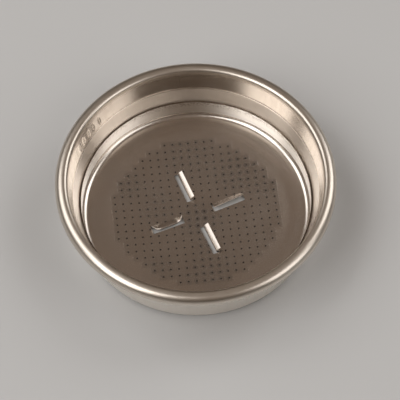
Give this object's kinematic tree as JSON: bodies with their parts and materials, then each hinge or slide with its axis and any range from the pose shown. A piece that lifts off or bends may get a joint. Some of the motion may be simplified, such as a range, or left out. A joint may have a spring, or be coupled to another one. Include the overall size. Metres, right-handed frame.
{
  "type": "coffee maker filter basket",
  "caption": "Shallow round steel filter basket with a rolled rim, a pierced dished sieve pressed into its seat and curled tabs that hold the coffee off the floor.",
  "frame": {"origin": "centre of the underside, on the cup's axis", "axes": "+Z along the cup's axis towards its mouth, +X and +Y along the two rows of the hole grid"},
  "size_m": [0.06, 0.06, 0.0148],
  "materials": {
    "shell": "bright drawn stainless steel, lightly worn",
    "sieve": "satin stainless steel sheet, stained round the holes"
  },
  "bodies": {
    "root": {"basket_shell": "shell", "sieve": "sieve"}
  },
  "joints": []
}
